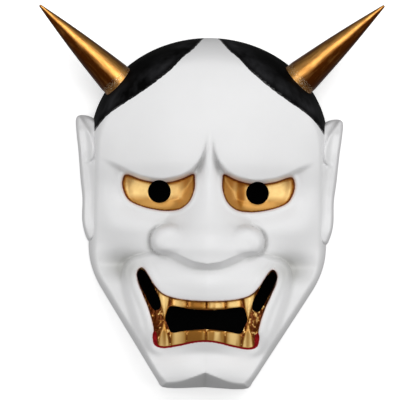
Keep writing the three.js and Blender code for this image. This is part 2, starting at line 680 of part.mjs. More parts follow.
function horn(seat) {
  const place = hornPlace(seat);
  return { geometry: toGeometry(hornBody(seat.length, 0).subtract(unplaced(cavity, place))), place };
}

const whiteResin = new THREE.MeshStandardMaterial({ color: 0xeeeeec, roughness: 0.45, metalness: 0 });
const hornGold = new THREE.MeshStandardMaterial({ color: 0xb07a2c, roughness: 0.3, metalness: 0.9 });

const mask = new THREE.Group();
const shellMesh = new THREE.Mesh(maskShell(), whiteResin);
shellMesh.name = 'mask_shell';
mask.add(shellMesh);
for (const [name, seat] of Object.entries(hornSeats)) {
  const { geometry, place } = horn(seat);
  const mesh = new THREE.Mesh(geometry, hornGold);
  mesh.name = `horn_${name}`;
  mesh.position.copy(place.seat);
  mesh.quaternion.copy(place.turn);
  mask.add(mesh);
}

// The origin is under the middle of the whole mask, on the back plane
mask.updateMatrixWorld(true);
const middle = new THREE.Box3().setFromObject(mask, true).getCenter(new THREE.Vector3());
mask.position.set(-middle.x, -middle.y, 0);

export default mask;
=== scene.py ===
import math
import bpy
import numpy as np
from mathutils import Matrix, Vector


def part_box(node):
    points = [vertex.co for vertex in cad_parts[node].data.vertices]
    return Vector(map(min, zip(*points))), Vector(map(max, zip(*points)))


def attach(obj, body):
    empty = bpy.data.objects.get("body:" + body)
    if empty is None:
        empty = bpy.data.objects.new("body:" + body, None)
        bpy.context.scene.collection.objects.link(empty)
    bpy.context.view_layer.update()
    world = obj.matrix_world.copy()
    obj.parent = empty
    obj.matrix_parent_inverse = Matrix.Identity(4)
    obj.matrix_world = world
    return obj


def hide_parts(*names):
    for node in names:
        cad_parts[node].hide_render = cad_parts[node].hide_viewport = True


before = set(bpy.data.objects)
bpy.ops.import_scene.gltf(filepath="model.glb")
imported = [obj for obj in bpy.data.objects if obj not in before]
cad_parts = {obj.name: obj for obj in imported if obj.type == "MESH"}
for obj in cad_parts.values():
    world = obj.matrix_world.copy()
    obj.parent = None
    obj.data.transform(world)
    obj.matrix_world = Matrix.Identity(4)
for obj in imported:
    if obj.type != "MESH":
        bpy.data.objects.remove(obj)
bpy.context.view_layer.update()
mm = 0.001

# the mask is drawn in millimetres about its own middle line, then put where the frame has it
shellLow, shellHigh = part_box("mask_shell")
placeX = (shellLow.x + shellHigh.x) / 2
placeY = shellHigh.y - 102.5 * mm


# curves and blends, in millimetres
def clamp(t):
    return np.clip(t, 0, 1)


def ramp(start, end, t):
    k = clamp((t - start) / (end - start))
    return k * k * (3 - 2 * k)


def hump(x, y, cx, cy, rx, ry):
    return np.exp(-((x - cx) / rx) ** 2 - ((y - cy) / ry) ** 2)


def crease(distance, width):
    return np.exp(-(distance / width) ** 2)


def smoothMax(a, b, k):
    h = clamp(0.5 + 0.5 * (a - b) / k)
    return b + (a - b) * h + k * h * (1 - h)


def smoothMin(a, b, k):
    return -smoothMax(-a, -b, k)


def through(points, t):
    # a curve through (place, value) pairs that never overshoots them
    xs, ys = np.array(points, float).T
    steps = np.diff(ys) / np.diff(xs)
    slopes = np.zeros(len(xs))
    slopes[0], slopes[-1] = steps[0], steps[-1]
    for i in range(1, len(xs) - 1):
        before, after = steps[i - 1], steps[i]
        slopes[i] = 0 if before * after <= 0 else 2 * before * after / (before + after)
    t = np.clip(t, xs[0], xs[-1])
    i = np.clip(np.searchsorted(xs, t, side="right") - 1, 0, len(xs) - 2)
    run = xs[i + 1] - xs[i]
    s = (t - xs[i]) / run
    return (ys[i] * (1 + 2 * s) * (1 - s) ** 2 + run * slopes[i] * s * (1 - s) ** 2
            + ys[i + 1] * s * s * (3 - 2 * s) + run * slopes[i + 1] * s * s * (s - 1))


def roundedLoop(points, perSpan):
    p1 = np.array(points, float)
    p0, p2, p3 = np.roll(p1, 1, 0), np.roll(p1, -1, 0), np.roll(p1, -2, 0)
    rows = []
    for k in range(perSpan):
        t = k / perSpan
        rows.append(0.5 * (2 * p1 + (p2 - p0) * t + (2 * p0 - 5 * p1 + 4 * p2 - p3) * t * t
                           + (3 * p1 - p0 - 3 * p2 + p3) * t ** 3))
    return np.stack(rows, 1).reshape(-1, 2)


def mirrored(points):
    return list(points) + [(-x, y) for x, y in reversed(points) if x > 0]


def depthInside(loop, x, y):
    # distance from a closed loop's edge, positive inside it
    nearest = np.full(np.broadcast(x, y).shape, 1e9)
    sign = np.ones_like(nearest)
    for (ax, ay), (bx, by) in zip(loop, np.roll(loop, 1, 0)):
        ex, ey, wx, wy = bx - ax, by - ay, x - ax, y - ay
        t = clamp((wx * ex + wy * ey) / (ex * ex + ey * ey))
        nearest = np.minimum(nearest, (wx - ex * t) ** 2 + (wy - ey * t) ** 2)
        above, below, left = y >= ay, y < by, ex * wy > ey * wx
        sign = np.where((above & below & left) | (~above & ~below & ~left), -sign, sign)
    return -sign * np.sqrt(nearest)


def distanceToLine(points, x, y):
    nearest = np.full(np.broadcast(x, y).shape, 1e9)
    for (ax, ay), (bx, by) in zip(points[:-1], points[1:]):
        ex, ey, wx, wy = bx - ax, by - ay, x - ax, y - ay
        t = clamp((wx * ex + wy * ey) / (ex * ex + ey * ey))
        nearest = np.minimum(nearest, (wx - ex * t) ** 2 + (wy - ey * t) ** 2)
    return np.sqrt(nearest)


# the face, as heights over the back plane
face = {
    "halfWidth": 76.5, "crownY": 102.5, "templeY": 35.0, "wall": 3.6,
    "pupilX": 31.0, "pupilY": 2.9, "pupilRadius": 7.2,
    "toothRelief": 2.0, "fangRelief": 3.2,
    "linesAcross": 236, "linesDown": 318, "hollowAcross": 64, "hollowDown": 88,
    "earAcross": 30, "earDown": 100,
}


def halfWidthAt(y):
    rise = (y - face["templeY"]) / (face["crownY"] - face["templeY"])
    top = face["halfWidth"] * np.sqrt(clamp(1 - rise ** 2))
    jaw = smoothMin(face["halfWidth"] + 0 * y, 68.0 + (y + 59.5) * 0.635, 9.0)
    return np.where(y > face["templeY"], top, jaw)


def headOutline():
    half = []
    for angle in np.radians(np.linspace(90, 0, 40, endpoint=False)):
        rise = (face["crownY"] - face["templeY"]) * math.sin(angle)
        half.append((face["halfWidth"] * math.cos(angle) if angle < 1.57 else 0.0, face["templeY"] + rise))
    for y in np.linspace(face["templeY"], -118.5, 60):
        half.append((float(halfWidthAt(np.array(y))), y))
    half += [(29.6, -120.6), (28, -122.3), (24.5, -123.2), (18, -123.45), (9, -123.1), (0, -122.6)]
    return np.array(mirrored(half))


headLoop = headOutline()
eyeLoop = roundedLoop([
    (9.6, 14.6), (17, 11.4), (25, 9.2), (33, 9.0), (42, 10.4), (52.2, 13.6), (54.8, 9), (54, 3),
    (50.6, -2.8), (43.5, -6.4), (34, -8.7), (25.5, -9.4), (17.5, -8), (11.6, -3), (8.7, 4.5), (8.5, 11)], 5)
mouthLoop = roundedLoop(mirrored([
    (0, -64.8), (10.9, -64.5), (20.6, -63.2), (27.6, -60.6), (32.6, -55.8), (36, -50.6), (39.2, -46),
    (41.9, -45), (44.2, -48.4), (43.4, -54), (40.6, -61), (37.1, -69), (34.4, -77), (32.9, -84),
    (33.2, -88.5), (31.8, -93.5), (26.5, -95.1), (16.6, -93.4), (8.3, -91.3), (0, -90.4)]), 4)
muzzleLoop = roundedLoop(mirrored([
    (0, -36), (30, -35.5), (40, -37.5), (47.5, -40), (52.2, -45), (53, -52), (50.8, -62),
    (46.5, -75), (42.5, -87), (38, -97), (28, -103), (0, -103)]), 3)
earLoop = roundedLoop([
    (70, 45), (75, 49.6), (81.6, 51.4), (85.9, 49.4), (85.4, 40), (83.9, 28), (82.4, 11), (80.9, -2),
    (80.9, -15), (79.2, -24), (76.2, -29.6), (71, -27), (66, -10), (64, 15), (66, 35)], 5)
mouthGap = roundedLoop(mirrored([
    (0, -70.6), (10, -70.2), (20, -68.6), (23.6, -69.4), (24.8, -72.5), (25.8, -76.8), (24, -81),
    (21.5, -85.3), (13.5, -84), (0, -82.8)]), 4)
cornerGap = roundedLoop([
    (41.2, -46.2), (43.9, -49.6), (42.1, -55.6), (38.7, -62.2), (35.2, -68.8), (32.2, -71.8),
    (28.9, -70), (29.1, -65.2), (32.1, -59), (36.8, -50.2)], 4)
browLine = [(0.8, 41), (1.8, 35), (2.8, 31), (4.6, 25.5), (7.5, 20.3), (12, 15.8), (20, 12), (30, 10.4),
            (40, 11.6), (50, 15), (60, 19.6), (68, 23)]
hairLine = [(0, 108), (3.5, 103), (5, 101.1), (11.2, 93.4), (17.9, 87.4), (24, 80.6), (31.5, 74.1),
            (40, 67.5), (49.3, 61.1), (58.2, 55.2), (64.6, 50.4), (70.7, 43.5), (80, 30)]


def brow(side, y):
    edge = through(browLine, side)
    slope = (through(browLine, side + 0.5) - edge) / 0.5
    above = (y - edge) / np.sqrt(1 + slope ** 2)
    forehead = ramp(33, 43, y)
    lobe = np.maximum(ramp(-2.2, 1.2, above), forehead)
    swell = 2.2 * hump(side, y, 28, 22, 26, 14) * np.maximum(ramp(-1.6, 1.6, above), forehead)
    reach = through([(8, 11), (18, 7.5), (30, 6.2)], y)
    socket = 8.5 * ramp(0.6, reach, side) * (1 - ramp(46, 68, side)) * ramp(-24, 2, y)
    return swell - socket * (1 - lobe)


def nose(side, y):
    # the height of the nose, and how far out a place is in the wing's oval, 1 on its edge
    ridge = through([(-46, 77), (-38, 78), (-32, 79), (-25, 77.5), (-15, 71), (-5, 65.5), (5, 62),
                     (15, 60.4), (25, 61.2), (33, 61.6), (40, 60), (50, 50), (103, 0)], y)
    width = through([(-44, 22), (-32, 24), (-20, 20), (-10, 15), (0, 11), (10, 7.5), (20, 4.4), (30, 3),
                     (40, 2)], y)
    fall = through([(-44, 11), (-32, 12), (-20, 12), (-10, 10.5), (0, 9), (10, 8.5), (20, 7.5), (30, 4.5),
                    (40, 1)], y)
    bridge = ridge - fall * (side / width) ** 1.8 - 0.07 * np.maximum(side - 23, 0) ** 2
    reach = ((side - 23.2) / 12.2) ** 2 + ((y + 28) / 10.6) ** 2
    wing = 54 + 14.5 * np.sqrt(clamp(1 - reach ** 2)) - 60 * np.maximum(reach - 1, 0)
    under = through([(0, -41.2), (8, -39.8), (14, -37.4), (20, -35), (26, -33.6), (33, -33),
                     (40, -31)], side)
    below = np.maximum(under - y, 0)
    undercut = through([(0, 1.9), (10, 1.5), (20, 1.4), (40, 1.6)], side) * below * ramp(0, 1.2, below)
    return smoothMax(bridge, wing, 6) - undercut - 200 * ramp(40, 50, side), reach


def faceRelief(x, y):
    side = np.abs(x)
    lip = depthInside(mouthLoop, x, y)
    middle = through([(-123, 54), (-112, 58), (-100, 57), (-88, 60), (-72, 63), (-55, 63.5), (-42, 60),
                      (-30, 56), (-12, 54), (5, 56), (22, 60), (40, 61), (60, 58), (80, 52), (95, 44),
                      (103, 40)], y)
    fall = through([(-123, 8), (-100, 24), (-60, 36), (-30, 33), (0, 28), (30, 26), (60, 22), (103, 18)], y)
    curve = through([(-123, 1.7), (-50, 1.5), (0, 1.9), (40, 2.4), (103, 2.4)], y)
    z = middle - fall * (side / face["halfWidth"]) ** curve
    z = z + brow(side, y)
    # cheekbone, temple, the hollow beside the mouth, then the plate of the muzzle
    z = z + 6.5 * hump(side, y, 56, -16, 20, 13)
    z = z - 3 * hump(side, y, 72, 0, 9, 30)
    plate = depthInside(muzzleLoop, x, y)
    z = z - 14 * hump(side, y, 51, -44, 16, 7.8) * (1 - ramp(-1.8, 0.8, plate))
    crisp = ramp(-56, -44, y)
    z = z + (4.5 + crisp) * ramp(-3.5 + 2 * crisp, 4 - 2.2 * crisp, plate) * (1 - ramp(-82, -100, y))
    z = z + 4 * hump(x, y, 0, -55, 30, 11)
    join = through([(-45, 2), (-24, 2.5), (-13, 6), (12, 6), (24, 2)], y)
    join = join + (1.6 - join) * ramp(24, 32, side)
    noseHeight, reach = nose(side, y)
    z = smoothMax(z, noseHeight, join)
    # the fold round the wing, the dip above it, the nostril and the corner of the mouth
    wingFold = ramp(24, 33, side) * ramp(-38, -33, y) * ramp(-12, -26, y)
    z = z - 3 * crease((np.sqrt(reach) - 1.06) * 12, 1.5) * wingFold
    z = z - 1.4 * hump(side, y, 15.5, -16, 5, 5.5)
    z = z - 1.6 * hump(side, y, 25.5, -36, 6, 2.4)
    z = z - 1.5 * hump(side, y, 42.6, -42.6, 3, 2.6)
    upperLip = ramp(-76, -64, y) * (1 - ramp(26, 38, side))
    lowerLip = ramp(-84, -90, y) * (1 - ramp(24, 34, side))
    z = z + 1.6 * crease(lip + 2.6, 2.4) * (1 - 0.85 * upperLip) * (1 - 0.9 * lowerLip)
    z = z - 0.4 * crease(lip + 7.2, 2.4) * ramp(-80, -92, y) * (1 - ramp(30, 40, side))
    z = z + 2 * hump(side, y, 14, -107, 13, 8)
    chinEdge = through([(0, -109.4), (8, -112.6), (16, -116), (24, -118.2), (30, -119.4), (60, -121)], side)
    below = np.maximum(chinEdge - y, 0)
    z = z - 2.5 * below * ramp(0, 2.6, below)
    return z, lip


def rimTurn(distance, x, y):
    # the share of the height that is left where the face turns down to its rim
    cleft = 8 * hump(x, y, 0, -119, 14, 9)
    radius = through([(-123, 9), (-112, 6), (-60, 6), (-20, 7), (30, 8), (50, 12), (70, 17), (102, 20)], y)
    return np.sqrt(clamp(1 - (1 - clamp(distance / (radius + cleft))) ** 2.2))


def toothShare(x, y):
    # 0 between the teeth, up to 1 on the middle of each
    side = np.abs(x)
    upperEdge, lowerEdge = -69.9 + 1.2 * (side / 22) ** 2, -83.6 - 1.6 * (side / 22) ** 2
    share = np.zeros_like(x)
    for start, end in [(0.0, 12.0), (12.0, 22.2)]:
        across = clamp(1 - np.abs((side - (start + end) / 2) / ((end - start) / 2 - 0.1)) ** 3.5)
        upper = across * ramp(-62.0, -65.5, y) * ramp(upperEdge - 0.8, upperEdge + 0.9, y)
        lower = across * ramp(lowerEdge + 0.8, lowerEdge - 0.9, y)
        share = np.maximum(share, np.maximum(upper, lower) ** 0.6)
    return share


fangLoops = {
    "upper": roundedLoop([(23.0, -59), (30.4, -57.4), (30.2, -64), (28.2, -71), (26.3, -78.2),
                          (24.6, -72.5), (23.2, -66)], 4),
    "lower": roundedLoop([(22.9, -95.4), (29.8, -95.6), (29.6, -89), (28.2, -83), (26.4, -77.8),
                          (24.4, -84), (23.0, -89)], 4),
}


def eyeFloor(side, y, z, lid):
    # a dome for the eyeball, met by walls that slope gently below and beside the nose, steeply elsewhere
    dx, dy = side - face["pupilX"], (y - 3) * 1.15
    ball = 41.8 - 0.12 * dx - 36 + np.sqrt(np.maximum(36 ** 2 - dx ** 2 - dy ** 2, 0))
    gentle = np.maximum(ramp(4, -4, y) * (1 - ramp(42, 53, side)), ramp(25, 15, side))
    steep = 3.6 - 2.9 * gentle
    steep = steep + (1.7 - steep) * ramp(44, 50, side) * ramp(11, 5, y)
    floorZ = smoothMax(ball, z - 0.8 - steep * lid, 6.0)
    rim = np.hypot(side - face["pupilX"], y - face["pupilY"])
    return floorZ - 0.7 * (1 - ramp(6.9, 7.9, rim))


def fullRelief(x, y):
    # the face with its eye and mouth pockets, before the rim turns down
    z, lip = faceRelief(x, y)
    side = np.abs(x)
    lid = depthInside(eyeLoop, side, y)
    floorZ = eyeFloor(side, y, z, lid)
    z = z + 0.9 * crease(lid + 1.3, 1.1)
    z = z + (np.minimum(floorZ, z) - z) * ramp(-0.2, 0.9, lid)
    gum = 63.5 - 17 * (x / 44) ** 2
    relief = face["toothRelief"] * toothShare(x, y)
    for loop in fangLoops.values():
        inside = depthInside(loop, side, y)
        relief = np.maximum(relief, face["fangRelief"] * np.sqrt(clamp(inside / 3.2)))
    folds = np.abs(np.sin(0.5 * y + 0.85 * side + 1.4 * np.sin(0.42 * y - 0.3 * side))) - 0.5
    relief = relief + 1.1 * folds * ramp(0.8, 0.1, relief) * ramp(21, 24, side)
    gum = gum + relief
    z = z + (np.minimum(gum, z) - z) * ramp(-0.2, 1.3, lip)
    return z


def faceHeight(x, y):
    distance = depthInside(headLoop, x, y)
    return np.maximum(fullRelief(x, y) * rimTurn(distance, x, y), 2.0)


def cavityHeight(x, y):
    # a wall's thickness behind the face, measured square to it
    soft, wall = 3.0, face["wall"]
    lowest = fullRelief(x, y) - wall
    for share in (0.35, 0.7, 1.0):
        for k in range(8):
            angle, radius = k * math.pi / 4, share * (wall + soft)
            sample = fullRelief(x + radius * math.cos(angle), y + radius * math.sin(angle))
            lowest = np.minimum(lowest, sample - wall * math.sqrt(1 - share ** 2))
    distance = depthInside(headLoop, x, y) - wall
    return np.maximum(lowest * rimTurn(distance, x, y), 1.0)


def earHeight(x, y):
    side = np.abs(x)
    outer = through([(-30, 76), (-15, 81), (0, 81), (28, 84), (50, 86)], y)
    across = (side - (outer - 16)) / 16
    fold = side - through([(21, 75.3), (24, 72.6), (30, 71.8), (36, 73.3), (43, 77), (48, 80.4),
                           (51, 82.8)], y)
    foldOn = ramp(19, 23, y)
    root = through([(-30, 22), (-20, 25), (-10, 25.6), (0, 25.8), (10, 28), (20, 31.6), (30, 34), (40, 33),
                    (45, 28), (50, 22)], y)
    z = root - 0.95 * (side - 72)
    z = z + 1.2 * crease(across - 0.86, 0.14) - 1.2 * crease(across - 0.62, 0.16) * ramp(-22, -8, y)
    z = z + 1.6 * hump(side, y, 78, -20, 5, 8)
    z = z - 2.2 * crease(fold + 0.3, 1.0) * foldOn + 1.2 * crease(fold - 2.2, 1.6) * foldOn
    z = z - 3 * ramp(0, -2, fold) * ramp(28, 44, y)
    edge = 1 - clamp(depthInside(earLoop, side, y) / 2.6)
    return np.maximum(z * np.sqrt(clamp(1 - 0.9 * edge ** 2)), 2.0)


def deselectAll():
    if bpy.context.mode != "OBJECT":
        bpy.ops.object.mode_set(mode="OBJECT")
    bpy.ops.object.select_all(action="DESELECT")


def selectOnly(piece):
    deselectAll()
    bpy.context.view_layer.objects.active = piece
    piece.select_set(True)


def smoothShade(piece):
    # soft over the relief, sharp where faces meet at more than this angle
    selectOnly(piece)
    bpy.ops.object.shade_smooth_by_angle(angle=math.radians(42))


def alongLoop(loop, fromCorner, toCorner, share):
    start = int(np.argmin(np.hypot(*(loop - fromCorner).T)))
    end = int(np.argmin(np.hypot(*(loop - toCorner).T)))
    count = (end - start) % len(loop)
    piece = loop[(start + np.arange(count + 1)) % len(loop)]
    lengths = np.concatenate([[0], np.cumsum(np.hypot(*np.diff(piece, axis=0).T))])
    at = share * lengths[-1]
    return np.stack([np.interp(at, lengths, piece[:, 0]), np.interp(at, lengths, piece[:, 1])], -1)


def fillLoop(loop, corners, u, v):
    # a smooth grid over the inside of a loop; corners run clockwise from the top left
    tl, tr, br, bl = [np.array(c, float) for c in corners]
    top, low = alongLoop(loop, tl, tr, u), alongLoop(loop, br, bl, 1 - u)
    right, left = alongLoop(loop, tr, br, v), alongLoop(loop, bl, tl, 1 - v)
    u, v = u[:, None], v[:, None]
    c = [alongLoop(loop, a, b, np.array([0.0]))[0] for a, b in ((tl, tr), (tr, br), (br, bl), (bl, tl))]
    blend = (1 - v) * ((1 - u) * c[0] + u * c[1]) + v * ((1 - u) * c[3] + u * c[2])
    return (1 - v) * top + v * low + (1 - u) * left + u * right - blend


def packedLines(density, edges):
    # line places from 0 to 1: evenly round the two turned edges, by density between them
    places = np.linspace(0, 1, 2001)
    weight = through(density, places)
    for edge, start in ((edges[0], 0), (edges[1], 1)):
        gap = np.abs(places - start)
        weight = weight + np.where(gap < edge, 0.9 / np.sqrt(np.maximum(gap / edge, 0.002)), 0)
    total = np.concatenate([[0], np.cumsum((weight[1:] + weight[:-1]) / 2)])
    return lambda t: np.interp(t * total[-1], total, places)


def even(t):
    return t


def carvedBlock(name, loop, corners, lines, heightAt, flatAt, across=even, down=even):
    deselectAll()
    bpy.ops.mesh.primitive_grid_add(x_subdivisions=lines[0], y_subdivisions=lines[1], size=2)
    piece = bpy.context.object
    piece.name = piece.data.name = name
    count = len(piece.data.vertices)
    co = np.zeros(count * 3)
    piece.data.vertices.foreach_get("co", co)
    co = co.reshape(-1, 3)
    u, v = across((co[:, 0] + 1) / 2), down((1 - co[:, 1]) / 2)
    spots = fillLoop(np.array(loop), corners, u, v)
    co[:, :2] = spots
    co[:, 2] = heightAt(spots[:, 0], spots[:, 1])
    upwards = co[0, 2] > flatAt
    piece.data.vertices.foreach_set("co", co.ravel())
    piece.data.update()
    # the border goes down to a flat face, and is closed there
    bpy.ops.object.mode_set(mode="EDIT")
    bpy.ops.mesh.select_all(action="DESELECT")
    bpy.ops.mesh.select_mode(type="EDGE")
    bpy.ops.mesh.select_non_manifold()
    bpy.ops.mesh.extrude_region_move(TRANSFORM_OT_translate={"value": (0, 0, -1 if upwards else 1)})
    bpy.ops.mesh.edge_face_add()
    bpy.ops.object.mode_set(mode="OBJECT")
    added = np.zeros(len(piece.data.vertices) * 3)
    piece.data.vertices.foreach_get("co", added)
    added = added.reshape(-1, 3)
    added[count:, 2] = flatAt
    added[:, 0] = added[:, 0] * mm + placeX
    added[:, 1] = added[:, 1] * mm + placeY
    added[:, 2] *= mm
    piece.data.vertices.foreach_set("co", added.ravel())
    bpy.ops.object.mode_set(mode="EDIT")
    bpy.ops.mesh.select_all(action="SELECT")
    bpy.ops.mesh.normals_make_consistent(inside=False)
    bpy.ops.object.mode_set(mode="OBJECT")
    piece.data.update()
    return piece


def prism(name, loop, low, high):
    # a straight cutter through a loop
    deselectAll()
    bpy.ops.mesh.primitive_circle_add(vertices=len(loop), fill_type="NGON")
    piece = bpy.context.object
    piece.name = piece.data.name = name
    for vertex, (x, y) in zip(piece.data.vertices, loop):
        vertex.co = (x * mm + placeX, y * mm + placeY, low * mm)
    bpy.ops.object.mode_set(mode="EDIT")
    bpy.ops.mesh.select_all(action="SELECT")
    bpy.ops.mesh.extrude_region_move(TRANSFORM_OT_translate={"value": (0, 0, (high - low) * mm)})
    bpy.ops.mesh.select_all(action="SELECT")
    bpy.ops.mesh.normals_make_consistent(inside=False)
    bpy.ops.object.mode_set(mode="OBJECT")
    return piece


def cut(piece, cutter, operation="DIFFERENCE"):
    selectOnly(piece)
    boolean = piece.modifiers.new("cut", "BOOLEAN")
    boolean.operation = operation
    boolean.solver = "MANIFOLD"
    boolean.object = cutter
    bpy.ops.object.modifier_apply(modifier=boolean.name)
    bpy.data.objects.remove(cutter)


def splitFaces(piece):
    # even triangles, since the corners of two many-sided faces on a seam could coincide when split later
    selectOnly(piece)
    split = piece.modifiers.new("split", "TRIANGULATE")
    split.quad_method = "BEAUTY"
    split.ngon_method = "BEAUTY"
    bpy.ops.object.modifier_apply(modifier=split.name)


def meshPoints(piece):
    co = np.zeros(len(piece.data.vertices) * 3)
    piece.data.vertices.foreach_get("co", co)
    return co.reshape(-1, 3)


def storeAttribute(piece, name, values):
    attribute = piece.data.attributes.new(name, "FLOAT", "POINT")
    attribute.data.foreach_set("value", np.ascontiguousarray(values, dtype=np.float32))


def flip(loop, side):
    loop = np.array(loop, float)
    return loop if side > 0 else (loop * [-1, 1])[::-1]


def flipCorners(corners, side):
    if side > 0:
        return corners
    a, b, c, d = [(-x, y) for x, y in corners]
    return [b, a, d, c]


def insetLoop(loop, distance):
    before, after = np.roll(loop, 1, 0), np.roll(loop, -1, 0)
    along = (after - before) / np.hypot(*(after - before).T)[:, None]
    return loop + np.stack([along[:, 1], -along[:, 0]], -1) * distance


def newMaterial(name):
    material = bpy.data.materials.new(name)
    material.use_nodes = True
    return material, material.node_tree, material.node_tree.nodes["Principled BSDF"]


def addNode(tree, kind, inputs=None, **settings):
    node = tree.nodes.new(kind)
    for key, value in settings.items():
        setattr(node, key, value)
    for key, value in (inputs or {}).items():
        socket = node.inputs[key]
        if isinstance(value, bpy.types.NodeSocket):
            tree.links.new(value, socket)
        else:
            socket.default_value = value
    return node


def noiseAt(tree, scale, detail=2.0, roughness=0.5, stretch=None):
    spot = addNode(tree, "ShaderNodeTexCoord").outputs["Object"]
    if stretch:
        spot = addNode(tree, "ShaderNodeMapping", {"Vector": spot, "Scale": stretch}).outputs[0]
    return addNode(tree, "ShaderNodeTexNoise",
                   {"Vector": spot, "Scale": scale, "Detail": detail, "Roughness": roughness}).outputs["Fac"]


def calc(tree, operation, *values, use_clamp=False):
    node = addNode(tree, "ShaderNodeMath", operation=operation, use_clamp=use_clamp)
    for i, value in enumerate(values):
        if isinstance(value, bpy.types.NodeSocket):
            tree.links.new(value, node.inputs[i])
        else:
            node.inputs[i].default_value = value
    return node.outputs[0]


def between(tree, value, low, high, outLow=0.0, outHigh=1.0):
    return addNode(tree, "ShaderNodeMapRange", {"Value": value, "From Min": low, "From Max": high,
                                                "To Min": outLow, "To Max": outHigh}).outputs[0]


def mixColour(tree, share, a, b):
    node = addNode(tree, "ShaderNodeMix", data_type="RGBA")
    for index, value in ((0, share), (6, a), (7, b)):
        if isinstance(value, bpy.types.NodeSocket):
            tree.links.new(value, node.inputs[index])
        else:
            node.inputs[index].default_value = (*value, 1.0) if index else value
    return node.outputs[2]


def mixValue(tree, share, a, b):
    node = addNode(tree, "ShaderNodeMix", data_type="FLOAT")
    for index, value in ((0, share), (2, a), (3, b)):
        if isinstance(value, bpy.types.NodeSocket):
            tree.links.new(value, node.inputs[index])
        else:
            node.inputs[index].default_value = value
    return node.outputs[0]


def readAttribute(tree, name):
    return addNode(tree, "ShaderNodeAttribute", attribute_name=name).outputs["Fac"]


paint = {
    # the grey mixed into the white is painted shade in recesses, and also a slight random mottle
    "white": (0.74, 0.74, 0.745), "whiteShadeAndMottle": (0.47, 0.47, 0.455), "lidPink": (0.72, 0.52, 0.47),
    # the hair's lighter grey is a painted sheen
    "hair": (0.002, 0.002, 0.002), "hairSheen": (0.024, 0.024, 0.026),
    "gold": (1.0, 0.69, 0.265), "goldBrown": (0.47, 0.205, 0.028), "goldDark": (0.13, 0.020, 0.001),
    "red": (0.27, 0.0, 0.003), "inside": (0.006, 0.006, 0.006), "insideWorn": (0.014, 0.014, 0.014),
}


def makeShellPaint():
    material, tree, shader = newMaterial("shellPaint")
    wobble = calc(tree, "MULTIPLY", calc(tree, "SUBTRACT", noiseAt(tree, 420, 3), 0.5), 0.9)
    fineWobble = calc(tree, "MULTIPLY", calc(tree, "SUBTRACT", noiseAt(tree, 1100, 2), 0.5), 0.5)
    hair = between(tree, calc(tree, "ADD", readAttribute(tree, "hairDepth"), wobble), -0.12, 0.12)
    goldDepth = calc(tree, "ADD", readAttribute(tree, "goldDepth"), fineWobble)
    gold = between(tree, goldDepth, -0.15, 0.15)
    lidEdge = calc(tree, "MULTIPLY", between(tree, goldDepth, -1.1, -0.1), 0.55)
    red = between(tree, calc(tree, "ADD", readAttribute(tree, "redDepth"), fineWobble), -0.12, 0.12)
    # painted shade: the white greys in recesses and in the hollow beside the mouth
    shadeInRecess = readAttribute(tree, "shadeInRecess")
    mottle = between(tree, noiseAt(tree, 55, 4, 0.6), 0.3, 0.7)
    recessShadeShare = calc(tree, "MULTIPLY", shadeInRecess, 0.75)
    white = mixColour(tree, recessShadeShare, paint["white"], paint["whiteShadeAndMottle"])
    white = mixColour(tree, calc(tree, "MULTIPLY", mottle, 0.05), white, paint["whiteShadeAndMottle"])
    white = mixColour(tree, lidEdge, white, paint["lidPink"])
    goldWear = between(tree, noiseAt(tree, 330, 4, 0.62), 0.35, 0.75)
    # the gold takes painted shade from goldShade, with random wear on top
    goldShade = readAttribute(tree, "goldShade")
    goldShadeAndWear = calc(tree, "MAXIMUM", goldShade, calc(tree, "MULTIPLY", goldWear, 0.10))
    mouth = readAttribute(tree, "mouthZone")
    # brown streaks down the teeth, and bright flecks on the gums between them
    streak = between(tree, noiseAt(tree, 150, 1, 0.5, (1.0, 0.10, 0.10)), 0.54, 0.66, 0.0, 0.5)
    goldShadeAndWear = calc(tree, "MAXIMUM", goldShadeAndWear, calc(tree, "MULTIPLY", mouth, streak))
    gum = calc(tree, "MULTIPLY", mouth, between(tree, goldShade, 0.72, 0.9))
    fleck = calc(tree, "MULTIPLY", gum, between(tree, noiseAt(tree, 330, 2, 0.5), 0.56, 0.63))
    goldShadeAndWear = calc(tree, "SUBTRACT", goldShadeAndWear, calc(tree, "MULTIPLY", fleck, 0.8), use_clamp=True)
    goldColour = mixColour(tree, between(tree, goldShadeAndWear, 0.0, 0.55), paint["gold"], paint["goldBrown"])
    goldColour = mixColour(tree, between(tree, goldShadeAndWear, 0.5, 1.0), goldColour, paint["goldDark"])
    colour = mixColour(tree, hair, white, paint["hair"])
    colour = mixColour(tree, gold, colour, goldColour)
    colour = mixColour(tree, red, colour, paint["red"])
    metal = calc(tree, "MULTIPLY", gold, between(tree, goldShadeAndWear, 0.0, 0.6, 0.20, 0.60))
    whiteRough = between(tree, mottle, 0, 1, 0.40, 0.47)
    rough = mixValue(tree, hair, whiteRough, between(tree, mottle, 0, 1, 0.20, 0.27))
    eyeRough = between(tree, goldWear, 0, 1, 0.46, 0.58)
    goldRough = mixValue(tree, mouth, eyeRough, between(tree, goldWear, 0, 1, 0.32, 0.44))
    rough = mixValue(tree, gold, rough, goldRough)
    rough = mixValue(tree, red, rough, 0.45)
    skin = calc(tree, "MULTIPLY", noiseAt(tree, 700, 2), 0.5)
    crumple = calc(tree, "MULTIPLY", noiseAt(tree, 900, 3, 0.6), metal)
    bump = addNode(tree, "ShaderNodeBump", {"Strength": 0.35, "Distance": 0.0002,
                                            "Height": calc(tree, "ADD", skin, crumple)})
    tree.links.new(colour, shader.inputs["Base Color"])
    tree.links.new(metal, shader.inputs["Metallic"])
    tree.links.new(rough, shader.inputs["Roughness"])
    tree.links.new(bump.outputs[0], shader.inputs["Normal"])
    shader.inputs["Specular IOR Level"].default_value = 0.32
    return material


